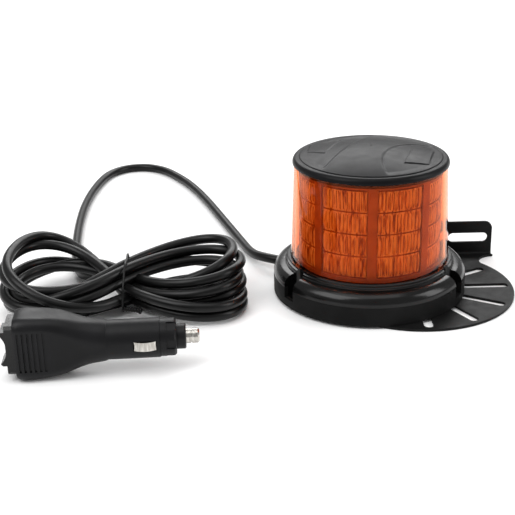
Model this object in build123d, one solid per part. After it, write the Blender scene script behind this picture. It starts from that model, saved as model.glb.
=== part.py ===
from build123d import *
import math
import os

# Amber LED warning beacon with a magnetic base, standing on its slotted steel bracket, with a tied hank of
# lead and a 12 V accessory plug. Millimetres. The origin is on the beacon's axis at the underside of the
# bracket, which is the ground. +Z is up, +X points to the free side of the bracket and -Y is the front.

# ---- driving dimensions ------------------------------------------------------------------------------

# Bracket, bent from black sheet steel
SHEET = 1.5
DISC_X, DISC_Y, DISC_R = 28.3, -3.5, 58.5
RAY_WIDTH, RAY_INNER, RAY_OUTER, RAY_STEP = 5.5, 28.5, 56.0, 30
SHORT_RAY_ANGLE, SHORT_RAY_OUTER = 30, 53.0
TAB_LEFT, TAB_RIGHT, TAB_TOP, TAB_FRONT = 35.0, 84.5, 23.4, 48.5
TAB_CORNER_R = 4.75
BEND_R = 1.5
TAB_SLOT_X, TAB_SLOT_Z, TAB_SLOT_LENGTH, TAB_SLOT_WIDTH = 69.0, 12.6, 25.4, 6.2
WING_TIP = (85.3, 46.2)
NOTCH_MID = (74.5, 36.2)
NOTCH_DISC_ANGLE = 31

# Beacon heights, from the ground
BOOT_LOW = SHEET + 0.05
BOOT_FLOOR = 1.5
SKIRT_TOP = 12.8
SHOULDER_TOP = 20.0
SEAT_TOP = 23.4
LENS_LOW = 19.8
LENS_TOP = 80.6
CAP_LIP = 79.5
CAP_WIDE = 81.0
CAP_CREST = 84.0
CAP_APEX = 90.6

# Beacon radii
FLANGE_R = 57.5
BOOT_WALL = 2.5
SHOULDER_R = 50.4
SEAT_R = 48.6
LENS_LOW_R, LENS_TOP_R, LENS_WALL = 47.05, 44.9, 2.5
CAP_WIDE_R, CAP_CREST_R, CAP_WALL = 45.7, 44.2, 2.4
POCKET_ANGLES = (-150, -30, 90)
POCKET_R, POCKET_WIDTH, POCKET_FLOOR = 52.0, 9.0, 6.5
FIXING_HOLE_R = 2.75
BASE_CAVITY_R, BASE_ROOM_R = 45.2, 40.0
PLATE_LOW, PLATE_THICK, GASKET_THICK = 8.0, 1.5, 0.8
MAGNET_ANGLES = (30, 150, 270)
SCREW_ANGLES, SCREW_PITCH_R = (0, 120, 240), 42.5
MAGNET_PITCH_R, MAGNET_R, CUP_R = 27.0, 12.8, 14.5
GLAND_ANGLE, GLAND_Z = 150, 7.0

PAD_RISE = 0.5
LEFT_PAD = ((-33.0, 12.0), (-19.5, 21.0), (-13.5, 11.5), (-20.0, 4.5), (-31.0, 1.5))
RIGHT_PAD = ((15.0, -7.0), (20.5, 12.0), (33.0, 9.0), (35.5, -3.0), (27.0, -16.0))

# LED engine
PANEL_COUNT = 8
POST_ANGLE = -94.0
CORE_FLAT, BOARD_THICK, BOARD_WIDTH, BOARD_HEIGHT = 26.0, 1.6, 20.0, 54.0
PANEL_FLAT, PANEL_THICK, PANEL_WIDTH, PANEL_HEIGHT = 36.4, 2.4, 27.4, 53.0
ENGINE_LOW = 23.6
POST_R, POST_THICK, POST_WIDTH = 41.2, 0.85, 5.2
LED_ROWS, LED_PITCH, LED_SIZE = 4, 13.4, 3.5

# Accessory plug, along its own axis from the rear face of the handle
PLUG_PLACE = Location((-193.5, -100.5, 17.5), (0, 0, 3.3))
HANDLE_SECTIONS = (
    # station, height, width, corner radius
    (0.0, 33.0, 22.4, 5.6),
    (1.2, 34.0, 23.4, 6.0),
    (13.0, 34.0, 23.4, 6.0),
    (20.0, 32.8, 23.0, 6.6),
    (29.0, 28.6, 22.2, 8.2),
    (38.0, 23.8, 21.4, 9.6),
    (47.0, 21.2, 21.0, 10.4),
)
PLUG_NOSE_R = 10.5
PLUG_WALL = 2.0
BODY_END = 74.5
COLLAR_END, STEP_END, TIP_END = 83.0, 88.0, 95.0
COLLAR_R, STEP_R, TIP_R = 10.1, 6.7, 4.0
GRIP_COUNT, GRIP_FIRST, GRIP_PITCH, GRIP_WIDTH, GRIP_DEPTH, GRIP_HEIGHT = 6, 2.6, 2.6, 1.2, 0.6, 22.0
ROCKER_WIDTH, ROCKER_HALF, ROCKER_PIVOT, PIN_R = 12.4, 9.6, -1.6, 1.0
CONTACT_LOW, CONTACT_HIGH, CONTACT_WIDTH = 61.0, 72.5, 4.9

# Lead: hand-laid points of its centreline from the beacon's gland to the tied hank, and from there to the plug
CORD_R = 3.0
LEAD_ROUTE = (
    (-53.26, 30.75, 7.0),
    (-62.44, 36.05, 7.0),
    (-71.0, 49.0, 4.6),
    (-78.0, 76.0, 3.0),
    (-92.0, 122.0, 3.0),
    (-104.5, 163.0, 3.0),
    (-117.5, 198.0, 3.0),
    (-131.0, 223.0, 3.0),
    (-141.0, 237.5, 3.0),
    (-154.5, 246.5, 3.0),
    (-170.0, 245.5, 3.0),
    (-182.0, 235.0, 3.0),
    (-188.0, 219.0, 3.0),
    (-192.5, 188.0, 3.0),
    (-194.0, 155.0, 3.0),
    (-193.0, 124.0, 3.0),
    (-191.0, 96.0, 3.0),
    (-188.0, 68.0, 3.0),
    (-184.0, 43.0, 3.0),
    (-177.0, 19.0, 3.0),
)
TAIL_ROUTE = (
    (-163.0, -34.9, 3.0),
    (-176.9, -36.8, 3.1),
    (-187.7, -44.1, 3.4),
    (-194.0, -54.9, 4.8),
    (-194.6, -66.9, 7.2),
    (-190.15, -77.35, 8.9),
)
HANK_SECTIONS = (
    # x, middle y, middle z, width, height, corner radius
    (-221.0, -4.0, 15.0, 30.0, 14.0, 5.0),
    (-215.0, -1.0, 15.0, 56.0, 25.0, 9.0),
    (-198.0, 3.0, 16.6, 78.0, 31.6, 11.0),
    (-174.0, -3.0, 16.6, 72.0, 31.6, 11.0),
    (-145.5, -15.0, 15.4, 31.0, 27.0, 12.0),
    (-118.0, -17.0, 17.0, 50.0, 32.6, 12.0),
    (-96.0, -18.0, 17.4, 62.0, 33.4, 12.0),
    (-80.0, -17.0, 16.8, 50.0, 32.0, 12.0),
    (-73.0, -16.0, 16.0, 30.0, 22.0, 9.0),
)
TIE_X, TIE_R = -145.5, 0.7
RELIEF_S, RELIEF_Y, RELIEF_Z, RELIEF_TURN = 9.0, 11.0, -8.5, 19.9
RELIEF_LENGTH, RELIEF_HOLE_R = 12.0, 3.2

BASE = (Align.CENTER, Align.CENTER, Align.MIN)

parts = {}


# ---- helpers -----------------------------------------------------------------------------------------


def add(name, *solids):
    """Keeps one node: a single solid, or a group of identical separate solids."""
    parts[name] = solids[0] if len(solids) == 1 else Compound(children=list(solids))


def disc(radius, low, high):
    return Pos(0, 0, low) * Cylinder(radius, high - low, align=BASE)


def ring(outer, inner, low, high):
    return disc(outer, low, high) - disc(inner, low - 1, high + 1)


def turned(*edges):
    """A solid of revolution about Z from edges drawn with x as the radius and y as the height."""
    return revolve(Plane.XZ * make_face(list(edges)), Axis.Z)


def polar(angle, radius, shape, height=0.0):
    """Places a shape at a radius and turns it so that its own X points outwards."""
    return Rot(0, 0, angle) * Pos(radius, 0, height) * shape


def along_x(radius, start, end):
    """A cylinder about the X axis."""
    return Pos(start, 0, 0) * Rot(0, 90, 0) * Cylinder(radius, end - start, align=BASE)


def cone_x(radius_start, radius_end, start, end):
    return Pos(start, 0, 0) * Rot(0, 90, 0) * Cone(radius_start, radius_end, end - start, align=BASE)


# ---- bracket -----------------------------------------------------------------------------------------


def bracket():
    """Slotted disc with an ear at the back, bent up and slotted for bolts."""
    bend_y = TAB_FRONT - BEND_R
    ear = math.radians(NOTCH_DISC_ANGLE)
    ear_start = (DISC_X + DISC_R * math.cos(ear), DISC_Y + DISC_R * math.sin(ear))
    corner = (TAB_RIGHT, bend_y)
    wing = make_face(
        [
            Line((DISC_X, DISC_Y), ear_start),
            ThreePointArc(ear_start, NOTCH_MID, WING_TIP),
            Line(WING_TIP, corner),
            Line(corner, (TAB_LEFT, bend_y)),
            Line((TAB_LEFT, bend_y), (DISC_X, DISC_Y)),
        ]
    )
    outline = Pos(DISC_X, DISC_Y) * Circle(DISC_R)
    cut_width = DISC_X + DISC_R - TAB_LEFT + 2
    relief = Pos(TAB_LEFT - 1.5, bend_y) * Rectangle(cut_width, 20, align=(Align.MIN, Align.MIN))
    outline = outline - relief + wing
    for step in range(360 // RAY_STEP):
        angle = step * RAY_STEP
        if angle in (60, 90):
            continue
        outer = SHORT_RAY_OUTER if angle == SHORT_RAY_ANGLE else RAY_OUTER
        ray = SlotOverall(outer - RAY_INNER, RAY_WIDTH)
        outline -= Pos(DISC_X, DISC_Y) * Rot(0, 0, angle) * Pos((outer + RAY_INNER) / 2, 0) * ray
    flat = extrude(outline, SHEET)

    # The bend is a quarter ring, and the ear stands on it
    width = TAB_RIGHT - TAB_LEFT
    outer_r = BEND_R + SHEET
    profile = Circle(outer_r) - Circle(BEND_R)
    quarter = profile & (Rectangle(outer_r, outer_r, align=(Align.MIN, Align.MAX)))
    bend = Plane((TAB_LEFT, bend_y, outer_r), x_dir=(0, 1, 0), z_dir=(1, 0, 0)) * quarter
    bend = extrude(bend, width)
    ear_height = TAB_TOP - outer_r
    face = Pos((TAB_LEFT + TAB_RIGHT) / 2, (TAB_TOP + outer_r) / 2) * Rectangle(width, ear_height)
    face = fillet(face.vertices().group_by(Axis.Y)[-1], TAB_CORNER_R)
    face -= Pos(TAB_SLOT_X, TAB_SLOT_Z) * SlotOverall(TAB_SLOT_LENGTH, TAB_SLOT_WIDTH)
    upright = extrude(Plane.XZ * face, -SHEET)
    upright = Pos(0, TAB_FRONT, 0) * upright
    return flat + bend + upright


add("bracket_plate", bracket())


# ---- beacon base -------------------------------------------------------------------------------------


def pockets():
    """Screw pockets that open to the flange's edge, and the fixing holes in their floors."""
    height = SEAT_TOP
    well = Cylinder(POCKET_WIDTH / 2, height, align=BASE)
    well += Box(12, POCKET_WIDTH, height, align=(Align.MIN, Align.CENTER, Align.MIN))
    hole = Cylinder(FIXING_HOLE_R, 10, align=BASE)
    cut = [polar(a, POCKET_R, well, POCKET_FLOOR) for a in POCKET_ANGLES]
    cut += [polar(a, POCKET_R, hole, 0) for a in POCKET_ANGLES]
    return cut


def base_housing():
    """Moulded flange with a rounded glossy shoulder and stepped rings that carry the lens."""
    skirt_r = FLANGE_R - BOOT_WALL - 0.1
    low = BOOT_LOW + BOOT_FLOOR + 0.1
    ledge = PLATE_LOW + PLATE_THICK + GASKET_THICK
    shoulder = ThreePointArc((FLANGE_R, SKIRT_TOP), (55.9, 17.6), (SHOULDER_R, SHOULDER_TOP))
    steps = Polyline(
        (SHOULDER_R, SHOULDER_TOP),
        (SHOULDER_R, SHOULDER_TOP + 0.5),
        (49.6, SHOULDER_TOP + 0.9),
        (49.6, SHOULDER_TOP + 1.9),
        (SEAT_R, SHOULDER_TOP + 2.3),
        (SEAT_R, SEAT_TOP),
        (LENS_LOW_R + 0.25, SEAT_TOP),
        (LENS_LOW_R + 0.25, LENS_LOW - 0.9),
        (20, LENS_LOW - 0.9),
        (20, LENS_LOW - 3.2),
        (BASE_ROOM_R, LENS_LOW - 3.2),
        (BASE_ROOM_R, ledge),
        (BASE_CAVITY_R, ledge),
        (BASE_CAVITY_R, low),
        (skirt_r, low),
        (skirt_r, SKIRT_TOP),
        (FLANGE_R, SKIRT_TOP),
    )
    body = turned(shoulder, steps)
    for cut in pockets():
        body -= cut
    screw = Cylinder(1.4, 6.5, align=BASE)
    for angle in SCREW_ANGLES:
        body -= polar(angle, SCREW_PITCH_R, screw, ledge)
    way = Rot(0, 0, GLAND_ANGLE) * Pos(0, 0, GLAND_Z) * along_x(3.6, 38, FLANGE_R + 2)
    return body - way


def rubber_boot():
    """Soft cup under and round the flange, open at the magnets and at the screw pockets."""
    body = ring(FLANGE_R, FLANGE_R - BOOT_WALL, BOOT_LOW, SKIRT_TOP - 0.05)
    body += disc(FLANGE_R, BOOT_LOW, BOOT_LOW + BOOT_FLOOR)
    for cut in pockets():
        body -= cut
    opening = Cylinder(CUP_R + 0.3, 10, align=BASE)
    for angle in MAGNET_ANGLES:
        body -= polar(angle, MAGNET_PITCH_R, opening, 0)
    way = Rot(0, 0, GLAND_ANGLE) * Pos(0, 0, GLAND_Z) * along_x(4.6, 50, FLANGE_R + 2)
    return body - way


def magnet_cup():
    """Steel pot that closes the magnet's field at the open face."""
    height = PLATE_LOW - BOOT_LOW - 0.3
    body = Cylinder(CUP_R, height, align=BASE)
    return body - Cylinder(MAGNET_R + 0.05, height - 1.5, align=BASE)


def base_screw():
    """Countersunk screw from below, through the base plate and the gasket into the housing."""
    head = Cone(1.3, 2.3, 1.3, align=BASE)
    head = Pos(0, 0, 1.35) * Rot(180, 0, 0) * head
    shank = Cylinder(1.25, 7.3, align=BASE)
    return head + shank


add("base_housing", base_housing())
add("rubber_boot", rubber_boot())

plate_top = PLATE_LOW + PLATE_THICK
plate = disc(BASE_CAVITY_R - 0.2, PLATE_LOW, plate_top)
gasket = ring(BASE_CAVITY_R - 0.2, BASE_ROOM_R + 0.1, plate_top, plate_top + GASKET_THICK)
screw_place = PLATE_LOW
for angle in SCREW_ANGLES:
    plate -= polar(angle, SCREW_PITCH_R, base_screw(), screw_place)
    gasket -= polar(angle, SCREW_PITCH_R, Cylinder(1.5, 3, align=BASE), plate_top - 1)
add("base_plate", plate)
add("base_gasket", gasket)
add("base_screws", *[polar(a, SCREW_PITCH_R, base_screw(), screw_place) for a in SCREW_ANGLES])
cup_low = BOOT_LOW + 0.3
add("magnet_cups", *[polar(a, MAGNET_PITCH_R, magnet_cup(), cup_low) for a in MAGNET_ANGLES])
magnet = Cylinder(MAGNET_R, PLATE_LOW - cup_low - 1.5, align=BASE)
add("magnets", *[polar(a, MAGNET_PITCH_R, magnet, cup_low) for a in MAGNET_ANGLES])


# ---- driver board ------------------------------------------------------------------------------------


def driver_parts():
    """Coil, capacitors, regulator and controller standing on the driver board."""
    top = plate_top + 2.8
    coil = Pos(-16, 8, top) * (Cylinder(5, 2.4, align=BASE) - Cylinder(2.2, 3, align=BASE))
    capacitors = [Pos(14, 8 * side, top) * Cylinder(2.6, 2.6, align=BASE) for side in (-1, 1)]
    controller = Pos(0, -16, top) * Box(9, 9, 1.4, align=BASE)
    regulator = Pos(2, 18, top) * Box(7, 6, 2.2, align=BASE)
    return [coil, *capacitors, controller, regulator]


board = disc(36.0, plate_top + 1.2, plate_top + 2.8)
pillar = Cylinder(2.2, 1.2, align=BASE)
add("driver_board", board)
add("driver_components", *driver_parts())
add("board_pillars", *[polar(a, 31.0, pillar, plate_top) for a in (90, 210, 330)])


# ---- LED engine --------------------------------------------------------------------------------------


def octagon(flat, low, high):
    """A column with eight faces that point halfway between the posts."""
    shape = RegularPolygon(flat, PANEL_COUNT, major_radius=False)
    return Rot(0, 0, POST_ANGLE + 22.5) * Pos(0, 0, low) * Rot(0, 0, 22.5) * extrude(shape, high - low)


def facing(index, radius, shape, height=0.0):
    """Places a shape on face number index of the octagon, with its own X pointing outwards."""
    return polar(POST_ANGLE + 22.5 + 45 * index, radius, shape, height)


engine_top = ENGINE_LOW + BOARD_HEIGHT
seat = LENS_LOW - 0.9
core = octagon(CORE_FLAT, seat + 2.2, engine_top + 1)
core += disc(34.0, seat, seat + 2.2)
core -= disc(21.0, seat - 1, engine_top + 2)
add("led_core", core)

board = Box(BOARD_THICK, BOARD_WIDTH, BOARD_HEIGHT, align=(Align.MIN, Align.CENTER, Align.MIN))
led = Box(1.2, LED_SIZE, LED_SIZE, align=(Align.MIN, Align.CENTER, Align.CENTER))
panel = Box(PANEL_THICK, PANEL_WIDTH, PANEL_HEIGHT, align=(Align.MIN, Align.CENTER, Align.MIN))
leds = []
for index in range(PANEL_COUNT):
    add(f"led_board_{index + 1}", facing(index, CORE_FLAT, board, ENGINE_LOW))
    add(f"optic_panel_{index + 1}", facing(index, PANEL_FLAT, panel, ENGINE_LOW + 0.5))
    for row in range(LED_ROWS):
        height = ENGINE_LOW + BOARD_HEIGHT / 2 + (row - (LED_ROWS - 1) / 2) * LED_PITCH
        leds.append(facing(index, CORE_FLAT + BOARD_THICK, led, height))
add("leds", *leds)


def optic_frame():
    """Eight flat posts in front of the panels' joints, between a ring under them and a ring over them."""
    low, high = ENGINE_LOW - 2.0, ENGINE_LOW + PANEL_HEIGHT + 1.1
    body = ring(POST_R + POST_THICK, 35.4, low, ENGINE_LOW + 0.45)
    body += ring(POST_R + POST_THICK, 35.4, high - 0.6, high + 0.3)
    post = Box(POST_THICK, POST_WIDTH, high - low, align=(Align.MIN, Align.CENTER, Align.MIN))
    for index in range(PANEL_COUNT):
        body += polar(POST_ANGLE + 45 * index, POST_R, post, low)
    return body


add("optic_frame", optic_frame())


# ---- lens and cap ------------------------------------------------------------------------------------


def lens():
    """Slightly tapered clear amber tube."""
    outline = Polyline(
        (LENS_LOW_R + 0.1, LENS_LOW),
        (LENS_LOW_R, SEAT_TOP),
        (LENS_TOP_R, LENS_TOP),
        (LENS_TOP_R - LENS_WALL, LENS_TOP),
        (LENS_LOW_R - LENS_WALL, LENS_LOW),
        close=True,
    )
    return turned(outline)


def cap_outline():
    """Half section of the cap: a thin lip over the lens, a bevel, and a shallow dome."""
    inside_apex = CAP_APEX - CAP_WALL
    return [
        Polyline(
            (0, inside_apex - 5.4),
            (0, CAP_APEX),
        ),
        ThreePointArc((0, CAP_APEX), (24.0, CAP_APEX - 1.9), (CAP_CREST_R, CAP_CREST)),
        Polyline(
            (CAP_CREST_R, CAP_CREST),
            (CAP_WIDE_R, CAP_WIDE),
            (CAP_WIDE_R, CAP_LIP),
            (LENS_TOP_R + 0.15, CAP_LIP),
            (LENS_TOP_R + 0.15, LENS_TOP + 0.05),
            (41.2, LENS_TOP + 0.05),
            (41.2, LENS_TOP - 1.0),
            (40.4, LENS_TOP - 1.0),
            (40.4, LENS_TOP - 2.4),
            (38.8, LENS_TOP - 2.4),
            (38.8, LENS_TOP + 1.4),
            (12.0, inside_apex - 0.4),
            (5.0, inside_apex - 0.4),
            (5.0, inside_apex - 5.4),
            (0, inside_apex - 5.4),
        ),
    ]


def dome(rise):
    """The solid under the cap's top surface, lifted a little."""
    arc = ThreePointArc((0, CAP_APEX), (24.0, CAP_APEX - 1.9), (CAP_CREST_R, CAP_CREST))
    rest = Polyline((CAP_CREST_R, CAP_CREST), (CAP_CREST_R, CAP_LIP), (0, CAP_LIP), (0, CAP_APEX))
    return Pos(0, 0, rise) * turned(arc, rest)


def cap_pad(outline):
    """A plain raised pad that follows the top of the dome."""
    blank = Pos(0, 0, CAP_LIP) * extrude(outline, 20)
    return (blank & dome(PAD_RISE)) - dome(0)


add("lens", lens())
add("lens_seal", ring(LENS_LOW_R, LENS_LOW_R - LENS_WALL, LENS_LOW - 0.85, LENS_LOW - 0.05))
add("top_cap", turned(*cap_outline()))
add("cap_seal", ring(42.2, 40.45, LENS_TOP - 2.3, LENS_TOP - 1.05))
left_pad = make_face(Polyline(*LEFT_PAD, close=True))
right_pad = make_face(Polyline(*RIGHT_PAD, close=True))
add("cap_pads", cap_pad(left_pad), cap_pad(right_pad))


# ---- cable gland and lead ----------------------------------------------------------------------------


def gland():
    """Rubber gland in the flange wall, tapering on to the lead."""
    body = along_x(3.5, 45.0, 55.1) + along_x(4.5, 55.0, 57.6) + cone_x(4.4, 3.4, 57.5, 61.4)
    return Rot(0, 0, GLAND_ANGLE) * Pos(0, 0, GLAND_Z) * body


def corner_radii(route):
    """An arc for each corner, as large as its two runs allow."""
    points = [Vector(*p) for p in route]
    radii = []
    for before, here, after in zip(points, points[1:], points[2:]):
        run = min((here - before).length, (after - here).length)
        turn = math.radians((here - before).get_angle(after - here))
        radii.append(0.45 * run / math.tan(turn / 2))
    return radii


def cord_tube(name, route):
    """A round tube along straight runs joined by tangent arcs."""
    radii = corner_radii(route)
    path = FilletPolyline(*route, radius=radii)
    start = Plane(path @ 0, z_dir=path % 0)
    tube = sweep(start * Circle(CORD_R), path=path)
    expected = math.pi * CORD_R**2 * path.length
    print(name, "radii", [round(r, 1) for r in radii])
    print(name, "length", round(path.length, 1), "volume ratio", round(tube.volume / expected, 4))
    return tube


def hank():
    """Outer shape of the tied turns: two lobes and a waist under the tie."""
    sections = []
    for x, y, z, width, height, radius in HANK_SECTIONS:
        plane = Plane((x, y, z), x_dir=(0, 1, 0), z_dir=(1, 0, 0))
        sections.append(plane * RectangleRounded(width, height, radius))
    return loft(sections)


def hank_tie():
    """Wire tie round the waist of the hank, with its ends twisted together at the front."""
    _, y, z, width, height, radius = HANK_SECTIONS[4]
    plane = Plane((TIE_X, y, z), x_dir=(0, 1, 0), z_dir=(1, 0, 0))
    outer = RectangleRounded(width + 3.2, height + 3.2, radius + 1.6)
    inner = RectangleRounded(width + 0.6, height + 0.6, radius + 0.3)
    band = extrude(plane * (outer - inner), TIE_R, both=True)
    twist_start = Vector(TIE_X, y - width / 2 - TIE_R, z - height / 2 + 9)
    twist_end = Vector(TIE_X + 7, y - width / 2 - 5, z - height / 2 + 6)
    twist_plane = Plane(twist_start, z_dir=twist_end - twist_start)
    twist = extrude(twist_plane * Circle(1.3), (twist_end - twist_start).length)
    return band + twist


add("cable_gland", gland())
add("cord_lead", cord_tube("cord_lead", LEAD_ROUTE))
add("cord_tail", cord_tube("cord_tail", TAIL_ROUTE))
add("cord_hank", hank())
add("hank_tie", hank_tie())


# ---- accessory plug ----------------------------------------------------------------------------------
# Drawn with its axis along X from the rear face of the handle, then laid on the ground by PLUG_PLACE.


def half_handle(shrink=0.0, start=0.0, overlap=0.0):
    """Upper half of the rounded handle, which narrows to a round nose."""
    sections = []
    for station, height, width, radius in HANDLE_SECTIONS:
        plane = Plane((station + start, 0, 0), x_dir=(0, 1, 0), z_dir=(1, 0, 0))
        face = RectangleRounded(width - 2 * shrink, height - 2 * shrink, radius - shrink)
        face &= Pos(0, -overlap) * Rectangle(width, height, align=(Align.CENTER, Align.MIN))
        sections.append(plane * face)
    return loft(sections)


def plug_shell():
    """Hollow upper half of the handle and nose; the lower half is the same, turned over."""
    nose_start = HANDLE_SECTIONS[-1][0]
    above = Box(200, 60, 40, align=BASE)
    body = half_handle() + (along_x(PLUG_NOSE_R, nose_start - 0.01, BODY_END) & above)
    body -= half_handle(PLUG_WALL, 2.2, 0.1)
    body -= along_x(PLUG_NOSE_R - PLUG_WALL, nose_start, 68.0)
    body -= along_x(6.6, 60.0, BODY_END + 1)
    body -= Pos(-1, 0, 0) * Box(5, 13.4, 22.4, align=(Align.MIN, Align.CENTER, Align.CENTER))
    groove = Box(GRIP_WIDTH, 2 * GRIP_DEPTH, GRIP_HEIGHT)
    for index in range(GRIP_COUNT):
        station = GRIP_FIRST + index * GRIP_PITCH
        for side in (-1, 1):
            body -= Pos(station, side * HANDLE_SECTIONS[1][2] / 2, 0) * groove
    slot_length = CONTACT_HIGH - CONTACT_LOW + 0.8
    slot = Box(slot_length, 8, CONTACT_WIDTH + 0.6)
    middle = (CONTACT_LOW + CONTACT_HIGH) / 2
    for side in (-1, 1):
        body -= Pos(middle, side * PLUG_NOSE_R, 0) * slot
    return body


def relief_place():
    """Where the lead enters the handle: out of its far side, leaning back."""
    return Location((RELIEF_S, RELIEF_Y, RELIEF_Z), (0, 0, 90 + RELIEF_TURN))


def strain_relief():
    """Tapered sleeve that stands on the handle's wall, with a stem through the wall."""
    sleeve = relief_place() * cone_x(5.2, 3.4, -1.0, RELIEF_LENGTH)
    sleeve -= Pos(RELIEF_S, 0, RELIEF_Z) * Box(40, HANDLE_SECTIONS[1][2] + 1.0, 40)
    return sleeve + relief_place() * along_x(RELIEF_HOLE_R - 0.1, -2.4, 2.4)


def switch_bezel():
    """Frame round the rocker, clipped into the rear of the handle."""
    frame = Pos(-4.5, 0, 0) * Box(4.4, 17.6, 27.6, align=(Align.MIN, Align.CENTER, Align.CENTER))
    frame = chamfer(frame.edges().filter_by(Axis.X), 1.6)
    frame += Pos(-0.1, 0, 0) * Box(4.0, 13.3, 22.3, align=(Align.MIN, Align.CENTER, Align.CENTER))
    well = Box(12, ROCKER_WIDTH + 0.8, 2 * ROCKER_HALF + 2.2)
    frame -= well
    return frame - Pos(ROCKER_PIVOT, 0, 0) * Rot(90, 0, 0) * Cylinder(PIN_R, 16.4)


def rocker():
    """Concave rocker with two raised ends."""
    half, tip = ROCKER_HALF, -8.2
    back = 0.8
    outline = make_face(
        [
            Polyline((back, -half + 2.0), (-2.0, -half), (tip + 1.0, -half), (tip, -half + 1.2)),
            ThreePointArc((tip, -half + 1.2), (-4.7, 0), (tip, half - 1.2)),
            Polyline((tip, half - 1.2), (tip + 1.0, half), (-2.0, half), (back, half - 2.0)),
            Line((back, half - 2.0), (back, -half + 2.0)),
        ]
    )
    body = extrude(Plane.XZ * outline, ROCKER_WIDTH / 2, both=True)
    return body - Pos(ROCKER_PIVOT, 0, 0) * Rot(90, 0, 0) * Cylinder(PIN_R + 0.05, 30)


def nose_ring():
    """Screwed ring with finger flats, stepping down to the tip; it holds the tip contact and the fuse."""
    body = along_x(COLLAR_R, BODY_END + 0.1, COLLAR_END - 1.0) + cone_x(
        COLLAR_R, COLLAR_R - 1.2, COLLAR_END - 1.0, COLLAR_END
    )
    body += along_x(STEP_R, COLLAR_END - 0.1, STEP_END - 0.6)
    body += cone_x(STEP_R, STEP_R - 0.6, STEP_END - 0.6, STEP_END)
    body += along_x(6.5, 69.0, BODY_END + 0.2)
    body -= along_x(5.2, 68.0, COLLAR_END)
    body -= along_x(TIP_R + 0.1, COLLAR_END - 1, STEP_END + 1)
    flat = Pos(COLLAR_END - 5.2, 0, COLLAR_R) * Box(5.6, 5.0, 2.0, align=(Align.MIN, Align.CENTER, Align.CENTER))
    for index in range(6):
        body -= Rot(30 + 60 * index, 0, 0) * flat
    return body


def tip_contact():
    """Plunger with a domed end and a ring groove, and a flange behind the ring's lip."""
    body = along_x(TIP_R, COLLAR_END - 0.3, TIP_END - 0.9) + cone_x(TIP_R, TIP_R - 0.9, TIP_END - 0.9, TIP_END)
    body += along_x(5.0, COLLAR_END - 2.3, COLLAR_END - 0.1)
    groove = along_x(TIP_R + 1, 90.4, 91.2) - along_x(TIP_R - 0.5, 90.0, 92.0)
    return body - groove


def tip_spring():
    """Coil spring between the fuse end and the tip contact."""
    low, high = 73.4, COLLAR_END - 2.8
    coil = Helix(pitch=(high - low) / 5, height=high - low, radius=3.6)
    wire = sweep(Plane(coil @ 0, z_dir=coil % 0) * Circle(0.45), path=coil, is_frenet=True)
    return Pos(low, 0, 0) * Rot(0, 90, 0) * wire


def side_contact(side):
    """Sprung earth contact: a bowed strip that stands out of the nose, with feet behind the wall."""
    middle = (CONTACT_LOW + CONTACT_HIGH) / 2
    half = (CONTACT_HIGH - CONTACT_LOW) / 2
    outer = PLUG_NOSE_R + 1.0
    bow = make_face(
        [
            ThreePointArc((middle - half, PLUG_NOSE_R - 0.6), (middle, outer), (middle + half, PLUG_NOSE_R - 0.6)),
            Line((middle + half, PLUG_NOSE_R - 0.6), (middle + half, PLUG_NOSE_R - 1.5)),
            Line((middle + half, PLUG_NOSE_R - 1.5), (middle - half, PLUG_NOSE_R - 1.5)),
            Line((middle - half, PLUG_NOSE_R - 1.5), (middle - half, PLUG_NOSE_R - 0.6)),
        ]
    )
    body = extrude(bow, CONTACT_WIDTH / 2, both=True)
    return body if side > 0 else Rot(180, 0, 0) * body


lower_shell = Rot(180, 0, 0) * plug_shell()
lower_shell -= relief_place() * along_x(RELIEF_HOLE_R, -9, 6)
add("plug_shell_upper", PLUG_PLACE * plug_shell())
add("plug_shell_lower", PLUG_PLACE * lower_shell)
add("plug_strain_relief", PLUG_PLACE * strain_relief())
add("switch_bezel", PLUG_PLACE * switch_bezel())
add("rocker", PLUG_PLACE * rocker())
pin = Pos(ROCKER_PIVOT, 0, 0) * Rot(90, 0, 0) * Cylinder(PIN_R, 16.2)
add("rocker_pin", PLUG_PLACE * pin)
switch = Pos(4.6, 0, 0) * Box(12, 12.8, 21, align=(Align.MIN, Align.CENTER, Align.CENTER))
blade = Box(7, 0.8, 4.8, align=(Align.MIN, Align.CENTER, Align.CENTER))
add("switch_body", PLUG_PLACE * switch)
add("switch_blades", *[PLUG_PLACE * Pos(16.6, 0, z) * blade for z in (-7, 0, 7)])
add("nose_ring", PLUG_PLACE * nose_ring())
add("tip_contact", PLUG_PLACE * tip_contact())
add("tip_spring", PLUG_PLACE * tip_spring())
fuse_caps = [along_x(3.2, 43.0, 48.5), along_x(3.2, 67.4, 72.9)]
add("fuse_glass", PLUG_PLACE * along_x(2.9, 48.5, 67.4))
add("fuse_caps", *[PLUG_PLACE * cap for cap in fuse_caps])
add("side_contact_near", PLUG_PLACE * side_contact(-1))
add("side_contact_far", PLUG_PLACE * side_contact(1))


# ---- writing -----------------------------------------------------------------------------------------

os.makedirs("parts", exist_ok=True)
for name, shape in parts.items():
    export_step(shape, f"parts/{name}.step")
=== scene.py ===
import math

import bpy
import numpy as np
from mathutils import Matrix, Vector


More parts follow.
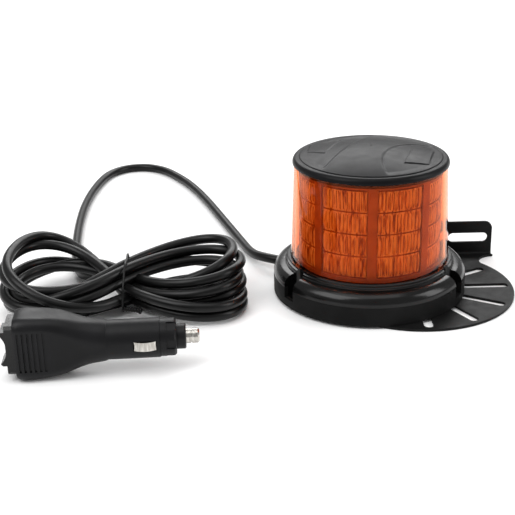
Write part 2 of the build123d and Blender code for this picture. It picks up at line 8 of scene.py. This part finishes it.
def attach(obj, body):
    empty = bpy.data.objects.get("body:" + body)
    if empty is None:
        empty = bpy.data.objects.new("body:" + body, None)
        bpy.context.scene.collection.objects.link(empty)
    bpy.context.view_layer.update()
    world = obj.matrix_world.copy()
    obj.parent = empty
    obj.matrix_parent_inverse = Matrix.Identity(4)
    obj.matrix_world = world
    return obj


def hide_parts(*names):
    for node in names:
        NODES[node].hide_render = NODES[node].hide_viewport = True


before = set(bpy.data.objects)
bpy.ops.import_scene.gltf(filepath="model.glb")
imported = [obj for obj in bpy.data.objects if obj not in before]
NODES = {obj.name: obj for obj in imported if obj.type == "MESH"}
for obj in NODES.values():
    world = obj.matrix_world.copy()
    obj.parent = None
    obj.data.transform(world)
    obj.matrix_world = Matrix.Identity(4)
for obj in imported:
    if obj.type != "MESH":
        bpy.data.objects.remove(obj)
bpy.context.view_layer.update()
MM = 0.001


# ---- camera ------------------------------------------------------------------------------------------

VIEW_PITCH, VIEW_ROLL = math.radians(22.25), math.radians(-1.33)
VIEW_PLACE = Vector((-67.25, -614.28, 273.11)) * MM
VIEW_LENS = 76.9


def make_camera():
    """Looks along +Y and down, with a slight roll."""
    level = Vector((1, 0, 0))
    rise = Vector((0, math.sin(VIEW_PITCH), math.cos(VIEW_PITCH)))
    right = level * math.cos(VIEW_ROLL) + rise * math.sin(VIEW_ROLL)
    up = rise * math.cos(VIEW_ROLL) - level * math.sin(VIEW_ROLL)
    turn = Matrix((right, up, right.cross(up))).transposed()
    data = bpy.data.cameras.new("camera")
    data.lens, data.sensor_width = VIEW_LENS, 36.0
    data.clip_start, data.clip_end = 0.02, 20.0
    camera = bpy.data.objects.new("camera", data)
    camera.matrix_world = Matrix.Translation(VIEW_PLACE) @ turn.to_4x4()
    bpy.context.scene.collection.objects.link(camera)
    bpy.context.scene.camera = camera


make_camera()


# ---- mesh helpers ------------------------------------------------------------------------------------


def link(obj, material=None, smooth=True):
    bpy.context.scene.collection.objects.link(obj)
    if material is not None:
        obj.data.materials.append(material)
    if smooth and obj.type == "MESH":
        obj.data.polygons.foreach_set("use_smooth", [True] * len(obj.data.polygons))
    return obj


def mesh_piece(name, points, faces, material, smooth=True):
    mesh = bpy.data.meshes.new(name)
    mesh.from_pydata([tuple(p) for p in points], [], faces)
    mesh.validate()
    mesh.update()
    return link(bpy.data.objects.new(name, mesh), material, smooth)


def grid_faces(rows, columns, closed=False):
    """Quads over a grid of points stored row by row."""
    faces = []
    for i in range(rows - 1):
        for j in range(columns if closed else columns - 1):
            after, low, high = (j + 1) % columns, i * columns, (i + 1) * columns
            faces.append((low + j, low + after, high + after, high + j))
    return faces


def curve_piece(name, splines, radius, material, closed=False, sides=6, steps=6):
    """NURBS curves with a round bevel."""
    data = bpy.data.curves.new(name, "CURVE")
    data.dimensions = "3D"
    data.bevel_depth, data.bevel_resolution = radius, sides
    data.resolution_u = steps
    data.use_fill_caps = True
    for points in splines:
        spline = data.splines.new("NURBS")
        spline.points.add(len(points) - 1)
        for place, point in zip(spline.points, points):
            place.co = (*point, 1.0)
        spline.order_u = 3
        spline.use_endpoint_u = not closed
        spline.use_cyclic_u = closed
    return link(bpy.data.objects.new(name, data), material, smooth=False)


def centreline(curve):
    """Points along a curve's own line."""
    depth = curve.data.bevel_depth
    curve.data.bevel_depth = 0.0
    depsgraph = bpy.context.evaluated_depsgraph_get()
    depsgraph.update()
    line = bpy.data.meshes.new_from_object(curve.evaluated_get(depsgraph))
    points = np.array([v.co[:] for v in line.vertices])
    bpy.data.meshes.remove(line)
    curve.data.bevel_depth = depth
    return points


# ---- materials ---------------------------------------------------------------------------------------


class Shader:
    """A Principled material whose colour, roughness and surface come from noise in object space."""

    def __init__(self, name, **sockets):
        self.material = bpy.data.materials.new(name)
        self.material.use_nodes = True
        self.tree = self.material.node_tree
        self.bsdf = self.tree.nodes["Principled BSDF"]
        self.place = self.tree.nodes.new("ShaderNodeTexCoord").outputs["Object"]
        for key, value in sockets.items():
            self.bsdf.inputs[key.replace("_", " ")].default_value = value

    def node(self, kind, **sockets):
        node = self.tree.nodes.new("ShaderNode" + kind)
        for key, value in sockets.items():
            self.set(node.inputs[key.replace("_", " ")], value)
        return node

    def set(self, socket, value):
        if isinstance(value, bpy.types.NodeSocket):
            self.tree.links.new(value, socket)
        else:
            socket.default_value = value

    def noise(self, scale, detail=3.0, stretch=(1, 1, 1)):
        """Noise whose features are about 1/scale metres across."""
        vector = self.place
        if stretch != (1, 1, 1):
            vector = self.node("Mapping", Vector=self.place, Scale=stretch).outputs["Vector"]
        return self.node("TexNoise", Vector=vector, Scale=scale, Detail=detail).outputs["Fac"]

    def spread(self, value, low, high, start=0.3, end=0.7):
        node = self.node("MapRange", Value=value)
        for key, number in (("From Min", start), ("From Max", end), ("To Min", low), ("To Max", high)):
            node.inputs[key].default_value = number
        return node.outputs["Result"]

    def colour(self, value, *stops):
        """Colours spread along a value, each given as (position, (r, g, b))."""
        ramp = self.node("ValToRGB", Fac=value)
        elements = ramp.color_ramp.elements
        while len(elements) < len(stops):
            elements.new(0.5)
        for element, (position, rgb) in zip(elements, stops):
            element.position = position
            element.color = (*rgb, 1.0)
        self.set(self.bsdf.inputs["Base Color"], ramp.outputs["Color"])

    def rough(self, value, low, high):
        self.set(self.bsdf.inputs["Roughness"], self.spread(value, low, high))

    def bump(self, value, height, strength=1.0):
        node = self.node("Bump", Height=value, Strength=strength, Distance=height)
        self.set(self.bsdf.inputs["Normal"], node.outputs["Normal"])

    def absorb(self, rgb, density):
        """Deepens the colour with the length of the way through the piece."""
        volume = self.node("VolumeAbsorption", Color=(*rgb, 1.0), Density=density)
        output = self.tree.nodes["Material Output"]
        self.set(output.inputs["Volume"], volume.outputs["Volume"])


def plastic(name, dark, light, rough, grain, height, **sockets):
    """Moulded plastic or rubber: slow colour and gloss changes, and a fine moulded grain."""
    shader = Shader(name, **sockets)
    slow = shader.noise(45.0, 4.0)
    shader.colour(slow, (0.35, dark), (0.65, light))
    shader.rough(shader.noise(160.0, 5.0), *rough)
    shader.bump(shader.noise(grain, 2.0), height)
    return shader.material


def metal(name, dark, light, rough, stretch=(1, 1, 1), height=0.00002):
    """Plated or brushed metal with fine streaks."""
    shader = Shader(name, Metallic=1.0)
    streaks = shader.noise(900.0, 3.0, stretch)
    shader.colour(streaks, (0.35, dark), (0.65, light))
    shader.rough(streaks, *rough)
    shader.bump(streaks, height, 0.5)
    return shader.material


def grey(value, tint=0.0):
    return (value, value, value * (1 + tint))


POWDER = plastic("powder_black", grey(0.004), grey(0.007), (0.42, 0.54), 2600.0, 0.00005,
                 Specular_IOR_Level=0.12)
GLOSS = plastic("housing_black", grey(0.002), grey(0.004), (0.16, 0.24), 300.0, 0.000004,
                Specular_IOR_Level=0.28)
RUBBER = plastic("rubber_black", grey(0.004), grey(0.007), (0.55, 0.68), 2200.0, 0.00003,
                 Specular_IOR_Level=0.1)
SHEATH = plastic("cord_black", grey(0.002), grey(0.004), (0.28, 0.36), 500.0, 0.000003,
                 Specular_IOR_Level=0.22)
TIE = plastic("tie_black", grey(0.002), grey(0.004), (0.3, 0.42), 900.0, 0.000006,
              Specular_IOR_Level=0.25)
CAP = plastic("cap_grey", grey(0.004, 0.15), grey(0.006, 0.15), (0.3, 0.4), 3200.0, 0.00002,
              Specular_IOR_Level=0.1)
PLUG = plastic("plug_black", grey(0.004, 0.12), grey(0.007, 0.12), (0.34, 0.44), 3000.0, 0.00002,
               Specular_IOR_Level=0.18)
SWITCH = plastic("switch_black", grey(0.003), grey(0.005), (0.2, 0.3), 1800.0, 0.00001,
                 Specular_IOR_Level=0.3)
SEAL = plastic("gasket_grey", grey(0.05), grey(0.07), (0.6, 0.7), 1800.0, 0.00003)
BOARD = plastic("board_green", (0.02, 0.07, 0.03), (0.03, 0.1, 0.05), (0.35, 0.5), 1200.0, 0.00003)
MASK = plastic("board_white", (0.72, 0.7, 0.66), (0.86, 0.84, 0.8), (0.3, 0.4), 1200.0, 0.00003)
# Dark red-brown bars in the optic valleys: painted shade.
SHADE_STRIP = plastic("optic_painted_shade", (0.12, 0.05, 0.03), (0.4, 0.2, 0.12), (0.4, 0.5), 900.0, 0.00003)
COMPONENT = plastic("component_dark", grey(0.02), grey(0.03), (0.4, 0.5), 1800.0, 0.00002)
ZINC = metal("steel_zinc", grey(0.45), grey(0.6), (0.3, 0.42))
NICKEL = metal("contact_nickel", (0.36, 0.34, 0.31), (0.62, 0.6, 0.56), (0.16, 0.26), (1, 1, 0.2))
SPRING = metal("spring_steel", grey(0.4), grey(0.55), (0.25, 0.35))
BRASS = metal("pillar_brass", (0.55, 0.4, 0.18), (0.7, 0.52, 0.25), (0.25, 0.35))
ALUMINIUM = metal("core_aluminium", grey(0.55), grey(0.7), (0.3, 0.4), (1, 1, 0.1))
FERRITE = plastic("magnet_ferrite", grey(0.03), grey(0.045), (0.5, 0.65), 1500.0, 0.00004)
LED = plastic("led_amber", (0.3, 0.14, 0.02), (0.5, 0.26, 0.05), (0.2, 0.3), 2000.0, 0.00002)
FUSE = plastic("fuse_clear", grey(0.85), grey(0.9), (0.03, 0.06), 300.0, 0.000005,
               Transmission_Weight=1.0)


def lens_material():
    """Clear amber moulding with faint vertical flow lines."""
    shader = Shader("lens_amber", Transmission_Weight=1.0, IOR=1.3,
                    Specular_Tint=(1.0, 0.42, 0.3, 1.0))
    flow = shader.noise(220.0, 3.0, (1, 1, 0.08))
    shader.colour(flow, (0.3, (1.0, 0.42, 0.14)), (0.7, (1.0, 0.5, 0.17)))
    shader.rough(flow, 0.0, 0.02)
    shader.bump(flow, 0.00002, 0.3)
    shader.absorb((1.0, 0.3, 0.25), 75.0)
    return shader.material


def optic_material():
    """Moulded optic, streaked down its flutes with painted highlights and painted shade."""
    shader = Shader("optic_clear", Transmission_Weight=0.15, IOR=1.45)
    # The near-white streaks are painted highlights and the dark red-brown streaks are painted shade along the
    # flutes.
    streaks = shader.noise(900.0, 4.0, (1, 1, 0.08))
    shader.colour(streaks, (0.34, (0.26, 0.13, 0.09)), (0.45, (0.72, 0.52, 0.38)), (0.57, (1.0, 1.0, 0.95)))
    shader.rough(shader.noise(500.0, 3.0), 0.1, 0.25)
    shader.bump(shader.noise(700.0, 4.0, (1, 1, 0.25)), 0.0002, 0.7)
    return shader.material


def post_material():
    """Matt moulding that looks red-brown through the lens."""
    shader = Shader("frame_dark")
    shader.colour(shader.noise(120.0), (0.3, (0.34, 0.2, 0.18)), (0.7, (0.46, 0.28, 0.24)))
    shader.rough(shader.noise(400.0), 0.45, 0.6)
    shader.bump(shader.noise(900.0), 0.00004)
    return shader.material


LENS, OPTIC, POST = lens_material(), optic_material(), post_material()

FINISH = {
    POWDER: ["bracket_plate"],
    GLOSS: ["base_housing"],
    RUBBER: ["rubber_boot", "cable_gland", "plug_strain_relief"],
    SEAL: ["base_gasket", "lens_seal", "cap_seal"],
    ZINC: ["base_plate", "base_screws", "magnet_cups"],
    FERRITE: ["magnets"],
    BOARD: ["driver_board"],
    MASK: [f"led_board_{i}" for i in range(1, 9)],
    COMPONENT: ["driver_components", "switch_body"],
    BRASS: ["board_pillars", "switch_blades"],
    ALUMINIUM: ["led_core"],
    LED: ["leds"],
    OPTIC: [f"optic_panel_{i}" for i in range(1, 9)],
    POST: ["optic_frame"],
    LENS: ["lens"],
    CAP: ["top_cap", "cap_pads"],
    PLUG: ["plug_shell_upper", "plug_shell_lower", "nose_ring"],
    SWITCH: ["switch_bezel", "rocker"],
    NICKEL: ["tip_contact", "side_contact_near", "side_contact_far", "fuse_caps"],
    SPRING: ["tip_spring", "rocker_pin"],
    FUSE: ["fuse_glass"],
}
for finish, names in FINISH.items():
    for name in names:
        for material_slot in NODES[name].material_slots:
            material_slot.material = finish


# ---- cord --------------------------------------------------------------------------------------------

CORD_R = 3.0
LEAD_ROUTE = (
    (-53.26, 30.75, 7.0),
    (-62.44, 36.05, 7.0),
    (-71.0, 49.0, 4.6),
    (-78.0, 76.0, 3.0),
    (-92.0, 122.0, 3.0),
    (-104.5, 163.0, 3.0),
    (-117.5, 198.0, 3.0),
    (-131.0, 223.0, 3.0),
    (-141.0, 237.5, 3.0),
    (-154.5, 246.5, 3.0),
    (-170.0, 245.5, 3.0),
    (-182.0, 235.0, 3.0),
    (-188.0, 219.0, 3.0),
    (-192.5, 188.0, 3.0),
    (-194.0, 155.0, 3.0),
    (-193.0, 124.0, 3.0),
    (-191.0, 96.0, 3.0),
    (-188.0, 68.0, 3.0),
    (-184.0, 43.0, 3.0),
    (-177.0, 19.0, 3.0),
)
TAIL_ROUTE = (
    (-163.0, -34.9, 3.0),
    (-176.9, -36.8, 3.1),
    (-187.7, -44.1, 3.4),
    (-194.0, -54.9, 4.8),
    (-194.6, -66.9, 7.2),
    (-190.15, -77.35, 8.9),
)
TURNS, TURN_POINTS = 5.75, 24
HANK_X, HANK_Y, WAIST_Z = -145.5, -16.0, 14.5
# How round the ends of the turns are, and how short the bundle at their crossing is
LOBE, WAIST_POWER = 0.4, 2.5
# Room for the wire under the bundle, and how far along the bundle the cord rises over it
WIRE_ROOM, WIRE_REACH = 1.6, 22.0
# Each pass at the right: reach, shift in y, height, swing in y
RIGHT_ENDS = (
    (64.0, 9.0, 28.0, 26.0),
    (69.0, 4.0, 23.0, 26.0),
    (69.0, 0.0, 18.5, 26.0),
    (69.0, -4.0, 14.0, 26.0),
    (70.0, -6.0, 9.5, 26.0),
    (70.0, -5.0, 5.5, 27.0),
)
# Each pass at the left: reach, swing in y at the front and at the back, height, swing in z
LEFT_ENDS = (
    (71.0, 27.0, 28.0, 6.0, 2.0),
    (68.0, 26.0, 28.0, 11.0, 2.0),
    (70.0, 25.0, 33.0, 16.0, 3.0),
    (71.0, 26.0, 38.0, 22.0, 4.0),
    (69.0, 27.0, 46.0, 32.0, 4.0),
)
# Where each crossing sits in the bundle under the tie, beside and above its middle
BACK_CELLS = ((3.0, 7.7), (-3.0, 7.7), (-5.9, 2.6), (0.0, 2.6), (-8.85, -2.6), (-5.9, -7.7))
FRONT_CELLS = ((8.85, -2.6), (5.9, 2.6), (2.95, -2.6), (5.9, -7.7), (-2.95, -2.6), (0.0, -7.7))


def soft_step(x, low, high):
    """0 below low, 1 above high, and a smooth rise between them."""
    t = np.clip((x - low) / (high - low), 0, 1)
    return t * t * (3 - 2 * t)


def ground(points):
    """Lowest the cord's middle may run: on the floor, or on the wire that passes under the bundle."""
    x = np.atleast_2d(points)[:, 0]
    return CORD_R + WIRE_ROOM * np.clip(1.4 - np.abs(x - HANK_X) / WIRE_REACH, 0, 1)


def between(rows, position):
    """A row of values at a position along a table, between its neighbours."""
    position = min(max(position, 0.0), len(rows) - 1.0001)
    index = int(position)
    table = np.array(rows)
    return table[index] + (table[index + 1] - table[index]) * (position - index)


def hank_turns():
    """Flat figure-of-eight turns that meet in a bundle at the tie and fan out at both ends."""
    points = []
    for step in range(int(TURNS * TURN_POINTS) + 1):
        turn = step / TURN_POINTS
        angle = math.radians(225) + 2 * math.pi * turn
        along, across, double = math.cos(angle), math.sin(angle), math.sin(2 * angle)
        along *= 1 - LOBE + LOBE * abs(along)
        waist = abs(across) ** WAIST_POWER
        if across > 0:
            cell = BACK_CELLS[min(max(round(turn - 0.625), 0), 5)]
        else:
            cell = FRONT_CELLS[min(max(round(turn - 0.125), 0), 5)]
        if along > 0:
            reach, shift, height, swing = between(RIGHT_ENDS, turn - 0.375)
            lift = 0.0
            y = HANK_Y + shift * (1 - waist) + swing * double
        else:
            reach, front, back, height, lift = between(LEFT_ENDS, turn - 0.875)
            y = HANK_Y + (front + (back - front) * soft_step(double, -0.7, 0.7)) * double
        z = height * (1 - waist) + lift * double + (WAIST_Z + cell[1]) * waist
        points.append((HANK_X + reach * along, y + cell[0] * waist, z))
    points = np.array(points)
    points[:, 2] = np.maximum(points[:, 2], ground(points))
    return points


def settle(points, spacing=2 * CORD_R, rounds=220, cuts=4):
    """Pushes turns that lie in each other apart, with smooth shifts, and keeps them on the ground."""
    count = len(points)
    samples = (count - 1) * cuts + 1
    weights = np.zeros((samples, count))
    for i in range(samples):
        k = min(i // cuts, count - 2)
        weights[i, k] += 1 - (i / cuts - k)
        weights[i, k + 1] += i / cuts - k
    shares = weights.sum(0)[:, None]
    index = np.arange(samples)
    near = np.abs(index[:, None] - index[None]) < 2 * cuts
    start = points.copy()
    for _ in range(rounds):
        line = weights @ points
        apart = line[:, None] - line[None]
        distance = np.linalg.norm(apart, axis=2)
        distance[near] = 99.0
        overlap = np.clip(spacing - distance, 0, None)
        push = (apart / np.maximum(distance, 0.5)[..., None] * (overlap * 0.5)[..., None]).sum(1)
        push /= np.maximum((overlap > 0).sum(1), 1)[:, None]
        shift = points + 1.2 * (weights.T @ push) / shares - start
        shift[1:-1] += 0.5 * ((shift[:-2] + shift[2:]) / 2 - shift[1:-1])
        points = start + 0.996 * shift
        points[:, 2] = np.maximum(points[:, 2], ground(points))
    return points


route = np.vstack([LEAD_ROUTE, settle(hank_turns())[2:-4], TAIL_ROUTE[1:]]) * MM
cord = curve_piece("cord", [route], CORD_R * MM, SHEATH)
cord_line = centreline(cord)
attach(cord, "beacon")
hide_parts("cord_lead", "cord_hank", "cord_tail")


# ---- hank tie ----------------------------------------------------------------------------------------

TIE_X, TIE_R, TIE_LOWEST = HANK_X, 0.65, 1.1
TWIST_R, SPLAY_R, TWIST_LENGTH, HALF_TWISTS, TWIST_LOWEST = 0.9, 1.6, 11.0, 7, 2.9


def tie_loop():
    """A closed loop of wire drawn tight round the bundle."""
    waist = (np.abs(cord_line[:, 0] - TIE_X * MM) < 0.004) & (cord_line[:, 1] < 0.05)
    near = cord_line[waist] / MM
    middle = near[:, 1:].mean(0)
    loop = []
    for step in range(28):
        angle = 2 * math.pi * step / 28
        way = np.array((math.cos(angle), math.sin(angle)))
        reach = ((near[:, 1:] - middle) @ way).max() + CORD_R + TIE_R
        y, z = middle + way * reach
        loop.append(np.array((TIE_X + 1.2 * math.sin(angle), y, max(z, TIE_LOWEST))) * MM)
    return loop


def tie_ends(loop):
    """The wire's two ends, twisted together from the low front of the loop."""
    knot = Vector(min(loop, key=lambda p: p[1] + 0.6 * p[2]))
    knot.z = max(knot.z, TWIST_LOWEST * MM)
    ends = []
    for side in (0.0, math.pi):
        end = []
        for step in range(40):
            along = step / 39
            angle = side + along * HALF_TWISTS * math.pi
            wide = TWIST_R if along < 0.85 else SPLAY_R
            offset = Vector((0, math.cos(angle), math.sin(angle))) * wide
            end.append(knot + (Vector((TWIST_LENGTH * along, -2.4 * along - 0.4, -0.6 * along)) + offset) * MM)
        ends.append(end)
    return ends


loop = tie_loop()
tie_band = curve_piece("tie_band", [loop], TIE_R * MM, TIE, closed=True, sides=3, steps=4)
tie_twist = curve_piece("tie_twist", tie_ends(loop), 0.6 * MM, TIE, sides=3, steps=3)
for piece in (tie_band, tie_twist):
    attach(piece, "beacon")
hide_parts("hank_tie")


# ---- optic panels ------------------------------------------------------------------------------------

PANELS, POST_ANGLE, PANEL_TURN = 8, -94.0, 18.6
PANEL_FACE, PANEL_BACK, FLUTE_HEIGHT = 40.9, 39.6, 1.0
PANEL_LOW, ROWS, ROW_HEIGHT = 24.2, 4, 13.1
FLUTES, FLUTE_CUTS, ROW_CUTS = 12, 8, 12
# Dark strips of painted shade in the valleys between flutes and between rows
STRIP_FACE, STRIP_TURN, STRIP_HEIGHT, STRIP_GAP = 41.35, 0.32, 0.3, 1.6


def on_ring(radius, degrees, height):
    """A point on a circle round the beacon's axis."""
    angle = math.radians(degrees)
    return np.array((radius * math.cos(angle), radius * math.sin(angle), height))


def optic_panel(index):
    """A clear curved plate with four rows of vertical flutes, each rounded off at the ends of its row."""
    middle = POST_ANGLE + 22.5 + 45 * index
    columns, rows = FLUTES * FLUTE_CUTS + 1, ROWS * ROW_CUTS + 1
    turns = [middle + PANEL_TURN * (2 * j / (columns - 1) - 1) for j in range(columns)]
    points = []
    for i in range(rows):
        crown = 1 - abs(2 * (i / ROW_CUTS % 1.0) - 1) ** 3
        height = PANEL_LOW + ROW_HEIGHT * i / ROW_CUTS
        for j, turn in enumerate(turns):
            flute = abs(math.sin(math.pi * j / FLUTE_CUTS))
            points.append(on_ring(PANEL_FACE + FLUTE_HEIGHT * crown * (0.25 + 0.75 * flute), turn, height))
    top = PANEL_LOW + ROW_HEIGHT * ROWS
    points += [on_ring(PANEL_BACK, turn, PANEL_LOW) for turn in turns]
    points += [on_ring(PANEL_BACK, turn, top) for turn in turns]
    faces = grid_faces(rows, columns)
    low, high, last = rows * columns, (rows + 1) * columns, (rows - 1) * columns
    for j in range(columns - 1):
        faces.append((j + 1, j, low + j, low + j + 1))
        faces.append((last + j, last + j + 1, high + j + 1, high + j))
        faces.append((low + j + 1, low + j, high + j, high + j + 1))
    faces.append((*(i * columns for i in range(rows)), high, low))
    faces.append((*(i * columns + columns - 1 for i in reversed(range(rows))), high - 1, high + columns - 1))
    piece = mesh_piece(f"optic_flutes_{index + 1}", np.array(points) * MM, faces, OPTIC)
    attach(piece, "beacon")
    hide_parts(f"optic_panel_{index + 1}")


def strip(points, faces, turn_0, turn_1, height_0, height_1, cuts):
    """Adds a curved bar of painted shade that stands in the valleys of a panel."""
    start = len(points)
    for step in range(cuts + 1):
        turn = turn_0 + (turn_1 - turn_0) * step / cuts
        points += [
            on_ring(PANEL_BACK + 0.3, turn, height_0),
            on_ring(STRIP_FACE, turn, height_0),
            on_ring(STRIP_FACE, turn, height_1),
            on_ring(PANEL_BACK + 0.3, turn, height_1),
        ]
    faces.append((start, start + 1, start + 2, start + 3))
    for step in range(cuts):
        k = start + 4 * step
        for side in range(4):
            after = (side + 1) % 4
            faces.append((k + after, k + side, k + 4 + side, k + 4 + after))
    k = start + 4 * cuts
    faces.append((k + 3, k + 2, k + 1, k))


def optic_shade_strips():
    """The painted-shade strips of all panels."""
    points, faces = [], []
    for index in range(PANELS):
        middle = POST_ANGLE + 22.5 + 45 * index
        for flute in range(FLUTES + 1):
            turn = middle + PANEL_TURN * (2 * flute / FLUTES - 1) * 0.99
            for row in range(ROWS):
                low = PANEL_LOW + ROW_HEIGHT * row
                strip(points, faces, turn - STRIP_TURN / 2, turn + STRIP_TURN / 2, low + STRIP_GAP,
                      low + ROW_HEIGHT - STRIP_GAP, 1)
        for row in range(ROWS + 1):
            height = PANEL_LOW + ROW_HEIGHT * row
            height = min(max(height, PANEL_LOW + STRIP_HEIGHT), PANEL_LOW + ROW_HEIGHT * ROWS - STRIP_HEIGHT)
            strip(points, faces, middle - PANEL_TURN * 0.98, middle + PANEL_TURN * 0.98,
                  height - STRIP_HEIGHT, height + STRIP_HEIGHT, 16)
    piece = mesh_piece("optic_shade_strips", np.array(points) * MM, faces, SHADE_STRIP, False)
    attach(piece, "beacon")


for panel in range(PANELS):
    optic_panel(panel)
optic_shade_strips()


# ---- cap ---------------------------------------------------------------------------------------------

DOME_R, DOME_TOP, DOME_END = 149.9, 90.6, 41.5
# Two creases run over the cap: a straight one on the left and a curved one on the right
LEFT_CREASE = ((-28.1, -22.6), (-5.4, 16.2))
RIGHT_CREASE, RIGHT_CREASE_R = (43.5, -27.5), 39.3
CREASE_RISE, CREASE_EDGE, PAD_RISE, PAD_EDGE = 0.7, (-0.4, 1.6), 0.45, 0.6
# The creases die out between these radii
FADE_FROM, FADE_TO = 36.0, 41.0
LEFT_PAD = ((-37.0, 5.0), (-27.0, -4.5), (-15.5, 20.5), (-34.0, 22.0))
RIGHT_PAD = ((15.8, -25.0), (30.5, -23.5), (37.5, 1.5), (22.7, -4.0))
# Outside of the lip, from the groove under the dome's edge to the underside: radius, height
LIP = (
    (41.7, 84.4), (42.0, 84.3), (42.35, 84.4), (43.1, 84.4), (43.9, 84.2), (44.6, 83.8), (45.15, 83.2),
    (45.5, 82.5), (45.68, 81.8), (45.7, 81.1), (45.6, 80.75), (45.3, 80.6), (45.05, 80.6), (45.05, 80.8),
    (42.0, 80.8),
)
CAP_RINGS, CAP_STEPS = 96, 480


def inside(x, y, outline):
    """Distance inside a convex outline that runs anticlockwise."""
    closest = np.full_like(x, 1e9)
    for (x0, y0), (x1, y1) in zip(outline, outline[1:] + outline[:1]):
        length = math.hypot(x1 - x0, y1 - y0)
        closest = np.minimum(closest, ((x1 - x0) * (y - y0) - (y1 - y0) * (x - x0)) / length)
    return closest


def cap_height(x, y):
    """The dome, with its saddle raised between the creases and its two plain pads."""
    radius = np.hypot(x, y)
    height = DOME_TOP - DOME_R + np.sqrt(DOME_R**2 - radius**2)
    (x0, y0), (x1, y1) = LEFT_CREASE
    length = math.hypot(x1 - x0, y1 - y0)
    left = -((x1 - x0) * (y - y0) - (y1 - y0) * (x - x0)) / length
    right = np.hypot(x - RIGHT_CREASE[0], y - RIGHT_CREASE[1]) - RIGHT_CREASE_R
    saddle = soft_step(left, *CREASE_EDGE) * soft_step(right, *CREASE_EDGE)
    fade = 1 - soft_step(radius, FADE_FROM, FADE_TO)
    pads = soft_step(inside(x, y, LEFT_PAD), 0, PAD_EDGE) + soft_step(inside(x, y, RIGHT_PAD), 0, PAD_EDGE)
    return height - CREASE_RISE * (1 - saddle) * fade * soft_step(radius, 0, 6) + PAD_RISE * pads


def cap():
    """The cap as one closed shell: the top, a groove, a rounded lip, and a plain underside."""
    turn = np.linspace(0, 2 * math.pi, CAP_STEPS, endpoint=False)
    rings = []
    for radius in np.linspace(0.4, DOME_END, CAP_RINGS):
        x, y = radius * np.cos(turn), radius * np.sin(turn)
        rings.append(np.stack([x, y, cap_height(x, y)], 1))
    for radius, height in LIP:
        x, y = radius * np.cos(turn), radius * np.sin(turn)
        rings.append(np.stack([x, y, np.full_like(x, height)], 1))
    points = np.concatenate(rings)
    faces = grid_faces(len(rings), CAP_STEPS, closed=True)
    faces.append(tuple(range(CAP_STEPS)))
    faces.append(tuple(reversed(range(len(points) - CAP_STEPS, len(points)))))
    piece = mesh_piece("cap_shell", points * MM, faces, CAP)
    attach(piece, "beacon")
    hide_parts("top_cap", "cap_pads")


cap()


# ---- floor and light ---------------------------------------------------------------------------------


def floor():
    """A plain pale floor just under the object."""
    shader = Shader("floor")
    shader.colour(shader.noise(3.0), (0.3, grey(0.93)), (0.7, grey(0.95)))
    shader.rough(shader.noise(20.0), 0.7, 0.8)
    size = 6.0
    corners = [(-size, -size, 0), (size, -size, 0), (size, size, 0), (-size, size, 0)]
    piece = mesh_piece("floor", corners, [(0, 1, 2, 3)], shader.material, smooth=False)
    piece.location.z = -0.0002


def softbox(name, place, aim, width, height, power):
    """A rectangular area light turned to a point."""
    data = bpy.data.lights.new(name, "AREA")
    data.shape, data.size, data.size_y, data.energy = "RECTANGLE", width, height, power
    light = bpy.data.objects.new(name, data)
    light.location = place
    light.rotation_euler = (Vector(aim) - Vector(place)).to_track_quat("-Z", "Y").to_euler()
    bpy.context.scene.collection.objects.link(light)


def lighting():
    """An even pale surround and four large soft lights."""
    scene = bpy.context.scene
    scene.view_settings.view_transform = "Standard"
    world = bpy.data.worlds.new("studio")
    scene.world = world
    world.use_nodes = True
    world.node_tree.nodes["Background"].inputs["Color"].default_value = (1, 1, 1, 1)
    world.node_tree.nodes["Background"].inputs["Strength"].default_value = 0.45
    middle = (-0.05, 0.0, 0.04)
    softbox("key", (-0.9, -0.5, 1.2), middle, 1.0, 1.0, 14.0)
    softbox("back", (0.1, 1.5, 1.1), middle, 1.8, 0.8, 20.0)
    softbox("right", (1.3, -0.3, 0.7), middle, 0.6, 1.0, 9.0)
    softbox("top", (0.0, -0.2, 1.8), middle, 1.4, 1.4, 9.0)


floor()
lighting()
